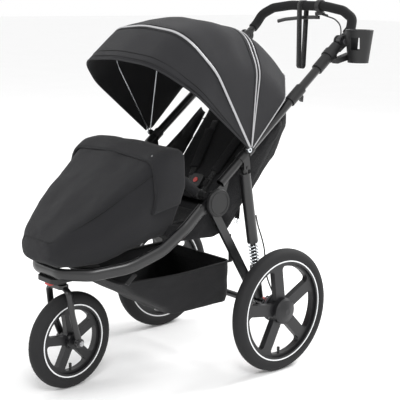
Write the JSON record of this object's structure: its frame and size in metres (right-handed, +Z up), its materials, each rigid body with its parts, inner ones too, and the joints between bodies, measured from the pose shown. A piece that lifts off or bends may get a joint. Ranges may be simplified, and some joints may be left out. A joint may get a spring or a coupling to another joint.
{
  "type": "jogging stroller",
  "caption": "Three-wheel jogging stroller with swivelling front wheel, fold-back sun canopy, reclining seat, footmuff, cup holder and tilting push handle.",
  "frame": {"origin": "on the ground under the middle of the bounding box", "axes": "+X is the stroller's left side, -Y is the direction of travel, +Z is up"},
  "size_m": [0.665, 1.1802, 1.1728],
  "materials": {
    "basket_cloth": "coarse polyester",
    "black_plastic": "moulded, lightly grained",
    "bolt_steel": "zinc plated",
    "cable_black": "sheathed",
    "canvas": "tightly woven polyester",
    "foam": "soft closed-cell foam",
    "frame_black": "satin black powder coat",
    "grey_plastic": "moulded",
    "muff_cloth": "quilted polyester",
    "pad_cloth": "padded polyester",
    "red_plastic": "moulded, glossy",
    "rim_plastic": "moulded, satin",
    "ring_white": "reflective white",
    "seat_cloth": "woven polyester",
    "steel": "plated",
    "tube_rubber": "butyl",
    "tyre_rubber": "treaded",
    "webbing": "woven webbing"
  },
  "bodies": {
    "seat_frame": {"side_tubes": "frame_black", "tube_sleeves": "black_plastic", "tube_brackets": "black_plastic", "hinge_pins": "bolt_steel", "hinge_covers": "black_plastic", "leg_brackets": "frame_black", "cup_clamp": "black_plastic", "cup_holder": "black_plastic", "seat_shell": "seat_cloth", "seat_base": "pad_cloth", "bumper_pivots": "black_plastic", "canopy_clamps": "black_plastic", "canopy_fabric": "canvas", "footmuff": "muff_cloth", "basket": "basket_cloth"},
    "front_frame": {"front_bow": "frame_black", "head_block": "black_plastic", "footrest": "black_plastic"},
    "swivel_catch": {"swivel_lock": "red_plastic"},
    "caster": {"fork": "frame_black", "front_axle": "bolt_steel"},
    "front_wheel": {"front_tyre": "tyre_rubber", "front_inner_tube": "tube_rubber", "front_rim": "rim_plastic", "front_rings": "ring_white"},
    "rear_arms": {"swing_arms": "frame_black", "rear_axle": "frame_black", "brake_drums": "grey_plastic", "brake_cable_lower": "cable_black"},
    "rear_wheel_left": {"rear_tyre_left": "tyre_rubber", "rear_inner_tube_left": "tube_rubber", "rear_rim_left": "rim_plastic", "rear_rings_left": "ring_white"},
    "rear_wheel_right": {"rear_tyre_right": "tyre_rubber", "rear_inner_tube_right": "tube_rubber", "rear_rim_right": "rim_plastic", "rear_rings_right": "ring_white"},
    "parking_pedal": {"brake_pedal": "red_plastic"},
    "rear_legs": {"leg_sleeves": "frame_black"},
    "leg_plungers": {"leg_rods": "frame_black", "springs": "steel"},
    "handle": {"handle_bar": "frame_black", "foam_grip": "foam", "brake_mount": "black_plastic", "wrist_strap": "webbing", "brake_cable_upper": "cable_black"},
    "hub_button_left": {"handle_button_left": "grey_plastic"},
    "hub_button_right": {"handle_button_right": "grey_plastic"},
    "hand_brake": {"brake_lever": "frame_black"},
    "canopy_front": {"canopy_hoop_front": "steel"},
    "canopy_rear": {"canopy_hoop_rear": "steel"},
    "backrest": {"seat_back": "pad_cloth", "seat_bag": "seat_cloth", "harness": "webbing", "buckle": "black_plastic", "recline_strap": "webbing"},
    "release_button": {"buckle_button": "red_plastic"},
    "calf_rest": {"leg_rest": "pad_cloth"},
    "bumper": {"bumper_bar": "pad_cloth"}
  },
  "joints": [
    {"name": "front_fold", "type": "hinge", "parent": "seat_frame", "child": "front_frame", "pos_m": [0, -0.06735, 0.57], "axis": [1, 0, 0], "range_deg": [0, 55]},
    {"name": "fork_swivel", "type": "hinge", "parent": "front_frame", "child": "caster", "pos_m": [0, -0.48235, 0.3], "axis": [0, 0, 1], "continuous": true},
    {"name": "front_wheel_spin", "type": "hinge", "parent": "caster", "child": "front_wheel", "pos_m": [-0.003, -0.44046, 0.15], "axis": [0.9974, 0.0715, 0], "continuous": true},
    {"name": "swivel_lock_slide", "type": "slide", "parent": "front_frame", "child": "swivel_catch", "axis": [0, -1, 0], "range_m": [0, 0.006]},
    {"name": "suspension", "type": "hinge", "parent": "seat_frame", "child": "rear_arms", "pos_m": [0, -0.06735, 0.57], "axis": [1, 0, 0], "range_deg": [0, 3], "stiffness_Nm_per_rad": 400, "springref_deg": -6.88},
    {"name": "leg_tilt", "type": "hinge", "parent": "seat_frame", "child": "rear_legs", "pos_m": [0, 0.05965, 0.664], "axis": [1, 0, 0], "range_deg": [0, 3]},
    {"name": "leg_plunge", "type": "slide", "parent": "rear_legs", "child": "leg_plungers", "axis": [0, -0.1923, 0.9813], "range_m": [0, 0.0076], "deforming": ["springs"]},
    {"name": "rear_wheel_left_spin", "type": "hinge", "parent": "rear_arms", "child": "rear_wheel_left", "pos_m": [0.295, 0.16565, 0.2], "axis": [1, 0, 0], "continuous": true},
    {"name": "rear_wheel_right_spin", "type": "hinge", "parent": "rear_arms", "child": "rear_wheel_right", "pos_m": [-0.295, 0.16565, 0.2], "axis": [1, 0, 0], "continuous": true},
    {"name": "parking_pedal_tilt", "type": "hinge", "parent": "rear_arms", "child": "parking_pedal", "pos_m": [0.144, 0.18565, 0.184], "axis": [1, 0, 0], "range_deg": [-18, 0]},
    {"name": "handle_angle", "type": "hinge", "parent": "seat_frame", "child": "handle", "pos_m": [0, 0.49065, 1.04126], "axis": [1, 0, 0], "range_deg": [-50, 30], "deforming": ["brake_cable_upper"]},
    {"name": "hub_button_left_press", "type": "slide", "parent": "seat_frame", "child": "hub_button_left", "axis": [-1, 0, 0], "range_m": [0, 0.002], "stiffness_N_per_m": 600, "springref_m": -0.004},
    {"name": "hub_button_right_press", "type": "slide", "parent": "seat_frame", "child": "hub_button_right", "axis": [1, 0, 0], "range_m": [0, 0.002], "stiffness_N_per_m": 600, "springref_m": -0.004},
    {"name": "hand_brake_squeeze", "type": "hinge", "parent": "handle", "child": "hand_brake", "pos_m": [0.042, 0.56865, 1.11276], "axis": [0, 1, 0], "range_deg": [0, 6], "stiffness_Nm_per_rad": 3, "springref_deg": -8.59},
    {"name": "canopy_fold", "type": "hinge", "parent": "seat_frame", "child": "canopy_front", "pos_m": [0, 0.06065, 0.72], "axis": [1, 0, 0], "range_deg": [-68, 0], "deforming": ["canopy_fabric"]},
    {"name": "canopy_rear_fold", "type": "hinge", "parent": "seat_frame", "child": "canopy_rear", "pos_m": [0, 0.06065, 0.72], "axis": [1, 0, 0], "range_deg": [-26, 0]},
    {"name": "recline", "type": "hinge", "parent": "seat_frame", "child": "backrest", "pos_m": [0, 0.04765, 0.505], "axis": [1, 0, 0], "range_deg": [-8, 14]},
    {"name": "harness_release", "type": "slide", "parent": "backrest", "child": "release_button", "axis": [0, 0.788, -0.6157], "range_m": [0, 0.0015], "stiffness_N_per_m": 400, "springref_m": -0.002},
    {"name": "calf_rest_tilt", "type": "hinge", "parent": "seat_frame", "child": "calf_rest", "pos_m": [0, -0.23235, 0.5], "axis": [1, 0, 0], "range_deg": [0, 12]},
    {"name": "bumper_swing", "type": "hinge", "parent": "seat_frame", "child": "bumper", "pos_m": [0, -0.09035, 0.59], "axis": [1, 0, 0], "range_deg": [-14, 12], "deforming": ["footmuff"]}
  ],
  "couplings": [
    {"joint": "leg_tilt", "follows": "suspension", "ratio": 0.8518},
    {"joint": "leg_plunge", "follows": "suspension", "m_per_rad": 0.1427},
    {"joint": "canopy_rear_fold", "follows": "canopy_fold", "ratio": 0.36}
  ]
}
